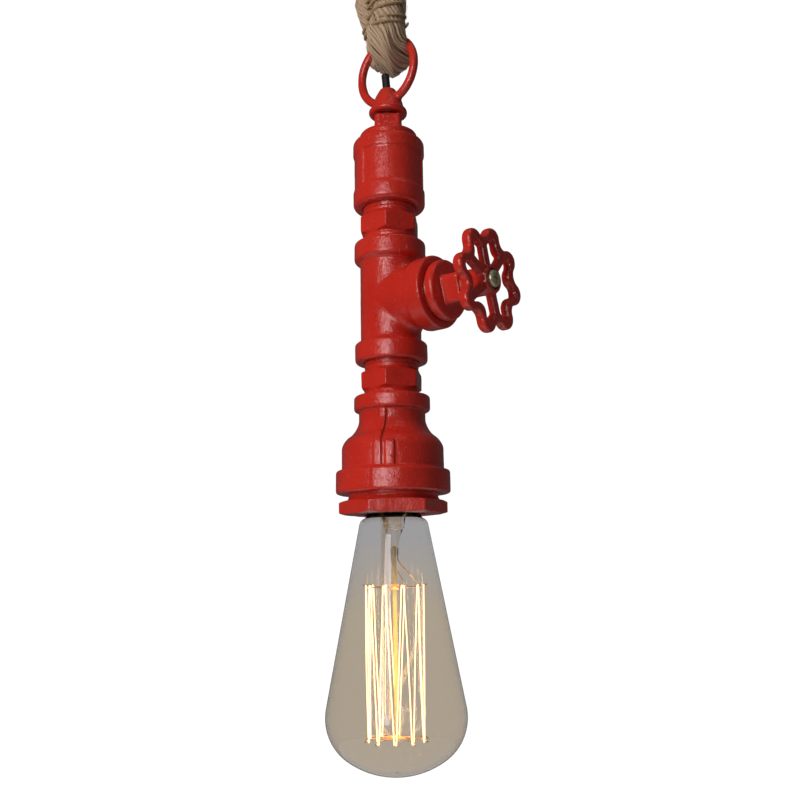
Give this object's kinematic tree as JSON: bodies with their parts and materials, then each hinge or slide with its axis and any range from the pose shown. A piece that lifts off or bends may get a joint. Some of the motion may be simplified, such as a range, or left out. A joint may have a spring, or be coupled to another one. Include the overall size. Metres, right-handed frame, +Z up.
{
  "type": "pendant lamp",
  "caption": "Hanging lamp of red enamelled pipe fittings on a jute rope, with a small handwheel on a tee and a clear pear-shaped filament bulb.",
  "frame": {"origin": "centre of the ceiling face, where the mounting bar lies against the ceiling", "axes": "+Z up out of the ceiling face, +X along the branch of the tee that carries the handwheel"},
  "size_m": [0.1129, 0.1, 0.4634],
  "materials": {
    "red_enamel": "glossy",
    "zinc_steel": "satin",
    "yellow_zinc": "satin",
    "white_plastic": "matte",
    "black_plastic": "matte",
    "jute_rope": "rough",
    "jute_twine": "rough",
    "black_cable": "satin",
    "brass": "satin",
    "fibre": "matte",
    "porcelain": "glossy",
    "brown_insulation": "satin",
    "blue_insulation": "satin",
    "clear_glass": "polished",
    "stem_glass": "polished",
    "black_glass": "glossy",
    "solder": "satin",
    "dark_wire": "satin",
    "glowing_filament": "glowing"
  },
  "bodies": {
    "ceiling": {"ceiling_mounting_bar": "zinc_steel", "ceiling_rose": "red_enamel", "rose_screws": "zinc_steel", "terminal_block": "white_plastic", "terminal_block_screws": "zinc_steel", "rope_collar": "red_enamel", "collar_nut": "zinc_steel", "collar_set_screws": "zinc_steel", "rope": "jute_rope", "twine_binding": "jute_twine", "rose_cable": "black_cable"},
    "lamp": {"feed_cable": "black_cable", "lamp_eye": "red_enamel", "threaded_tube": "zinc_steel", "top_plug": "red_enamel", "tube_lock_nut": "zinc_steel", "cord_grip": "black_plastic", "cord_grip_screw": "black_plastic", "pipe_coupling": "red_enamel", "upper_hex_nipple": "red_enamel", "tee": "red_enamel", "branch_plug": "red_enamel", "wheel_bush": "brass", "wheel_back_washer": "fibre", "wheel_front_washer": "zinc_steel", "handwheel_screw": "yellow_zinc", "lower_hex_nipple": "red_enamel", "reducing_socket": "red_enamel", "hex_bushing": "red_enamel", "holder_ring": "zinc_steel", "lampholder_body": "porcelain", "lampholder_shell": "brass", "lampholder_contact": "brass", "lampholder_terminal_screws": "brass", "conductor_live": "brown_insulation", "conductor_neutral": "blue_insulation"},
    "wheel": {"handwheel": "red_enamel"},
    "bulb_contact": {"cap_contact": "solder"},
    "bulb": {"bulb_glass": "clear_glass", "bulb_cap": "brass", "cap_insulator": "black_glass", "bulb_stem": "stem_glass", "exhaust_tube": "stem_glass", "lead_wires": "dark_wire", "support_rod": "stem_glass", "upper_filament_support": "dark_wire", "lower_filament_support": "dark_wire", "filament": "glowing_filament"}
  },
  "joints": [
    {"name": "lamp_swing", "type": "hinge", "parent": "ceiling", "child": "lamp", "pos_m": [0, 0, -0.1065], "axis": [1, 0, 0], "range_deg": [-20, 20]},
    {"name": "handwheel_turn", "type": "hinge", "parent": "lamp", "child": "wheel", "pos_m": [0.058, 0, -0.246], "axis": [1, 0, 0], "continuous": true},
    {"name": "bulb_travel", "type": "slide", "parent": "lamp", "child": "bulb_contact", "axis": [0, 0, -1], "range_m": [0, 0.01815]},
    {"name": "bulb_turn", "type": "hinge", "parent": "bulb_contact", "child": "bulb", "pos_m": [0, 0, -0.335], "axis": [0, 0, -1], "range_deg": [0, 1800]}
  ],
  "couplings": [
    {"joint": "bulb_travel", "follows": "bulb_turn", "m_per_rad": 0.00057757}
  ]
}
